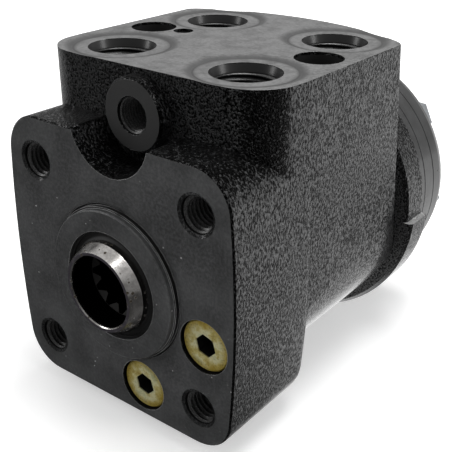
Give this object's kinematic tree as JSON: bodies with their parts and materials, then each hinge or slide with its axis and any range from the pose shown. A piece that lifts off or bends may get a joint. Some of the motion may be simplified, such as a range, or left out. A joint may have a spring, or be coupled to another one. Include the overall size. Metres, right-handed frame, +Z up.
{
  "type": "orbital steering unit",
  "caption": "Hydraulic steering control unit: flanged iron housing with threaded ports on top, splined rotary valve, and a round gear set with end cover behind.",
  "frame": {"origin": "centre of the column bolt circle on the mounting face", "axes": "+X to the right seen from the steering column, +Y back along the spool axis, +Z up towards the port face"},
  "size_m": [0.0926, 0.1334, 0.104],
  "materials": {
    "black_painted_iron": "black paint over rough casting, machined faces thinner",
    "black_painted_steel": "smooth semi-gloss black",
    "bright_steel": "ground and polished",
    "screw_steel": "black oxide",
    "yellow_zinc": "yellow chromate zinc",
    "copper": "plain",
    "seal_rubber": "matt",
    "seal_plastic": "matt"
  },
  "bodies": {
    "housing_body": {"housing": "black_painted_iron", "dust_seal": "seal_rubber", "shaft_seal_ring": "seal_plastic", "shaft_seal_o_ring": "seal_rubber", "bearing_front_race": "bright_steel", "distributor_plate": "black_painted_steel", "gear_rim": "black_painted_steel", "end_cover": "black_painted_steel", "housing_o_ring": "seal_rubber", "front_rim_o_ring": "seal_rubber", "rear_rim_o_ring": "seal_rubber", "cover_screws": "screw_steel", "cover_washers": "copper", "check_valve_bushing": "bright_steel", "suction_valve_stop_left": "bright_steel", "suction_valve_stop_right": "bright_steel", "shock_valve_plug_lower": "yellow_zinc", "shock_valve_seal_lower": "copper", "shock_valve_setting_screw_lower": "bright_steel", "shock_valve_spring_lower": "bright_steel", "shock_valve_seat_lower": "bright_steel", "shock_valve_plug_right": "yellow_zinc", "shock_valve_seal_right": "copper", "shock_valve_setting_screw_right": "bright_steel", "shock_valve_spring_right": "bright_steel", "shock_valve_seat_right": "bright_steel"},
    "sleeve_body": {"sleeve": "bright_steel", "cross_pin": "bright_steel", "spring_ring": "bright_steel", "flat_springs": "bright_steel", "bowed_springs": "bright_steel", "bearing_rear_race": "bright_steel"},
    "spool_body": {"spool": "bright_steel"},
    "cage_body": {"bearing_cage": "bright_steel", "bearing_needles": "bright_steel"},
    "spacer_body": {"spacer_disc": "bright_steel"},
    "wheel_body": {"gear_wheel": "bright_steel"},
    "cardan_body": {"cardan_shaft": "bright_steel"},
    "check_ball_body": {"check_valve_ball": "bright_steel"},
    "suction_ball_left_body": {"suction_valve_ball_left": "bright_steel"},
    "suction_ball_right_body": {"suction_valve_ball_right": "bright_steel"},
    "shock_ball_lower_body": {"shock_valve_ball_lower": "bright_steel"},
    "shock_ball_right_body": {"shock_valve_ball_right": "bright_steel"}
  },
  "joints": [
    {"name": "sleeve_turn", "type": "hinge", "parent": "housing_body", "child": "sleeve_body", "pos_m": [0, 0.06, 0], "axis": [0, 1, 0], "continuous": true},
    {"name": "spool_twist", "type": "hinge", "parent": "sleeve_body", "child": "spool_body", "pos_m": [0, 0.06, 0], "axis": [0, 1, 0], "range_deg": [-8, 8], "stiffness_Nm_per_rad": 8, "deforming": ["flat_springs", "bowed_springs"]},
    {"name": "bearing_roll", "type": "hinge", "parent": "housing_body", "child": "cage_body", "pos_m": [0, 0.011, 0], "axis": [0, 1, 0], "continuous": true},
    {"name": "wheel_orbit", "type": "hinge", "parent": "housing_body", "child": "spacer_body", "pos_m": [0, 0.10955, 0], "axis": [0, 1, 0], "continuous": true},
    {"name": "wheel_spin", "type": "hinge", "parent": "spacer_body", "child": "wheel_body", "pos_m": [0, 0.10955, 0.003], "axis": [0, 1, 0], "continuous": true},
    {"name": "cardan_spin", "type": "hinge", "parent": "spacer_body", "child": "cardan_body", "pos_m": [0, 0.038, 0], "axis": [0, 0.9991, 0.0419], "continuous": true},
    {"name": "check_ball_lift", "type": "slide", "parent": "housing_body", "child": "check_ball_body", "axis": [0, 1, 0], "range_m": [0, 0.0014]},
    {"name": "suction_ball_lift_left", "type": "slide", "parent": "housing_body", "child": "suction_ball_left_body", "axis": [0, 1, 0], "range_m": [0, 0.0014]},
    {"name": "suction_ball_lift_right", "type": "slide", "parent": "housing_body", "child": "suction_ball_right_body", "axis": [0, 1, 0], "range_m": [0, 0.0014]},
    {"name": "shock_ball_lift_lower", "type": "slide", "parent": "housing_body", "child": "shock_ball_lower_body", "axis": [0, -1, 0], "range_m": [0, 0.0008]},
    {"name": "shock_ball_lift_right", "type": "slide", "parent": "housing_body", "child": "shock_ball_right_body", "axis": [0, -1, 0], "range_m": [0, 0.0008]}
  ],
  "couplings": [
    {"joint": "bearing_roll", "follows": "sleeve_turn", "ratio": 0.5},
    {"joint": "wheel_orbit", "follows": "sleeve_turn", "ratio": -6},
    {"joint": "wheel_spin", "follows": "sleeve_turn", "ratio": 7},
    {"joint": "cardan_spin", "follows": "sleeve_turn", "ratio": 7}
  ]
}
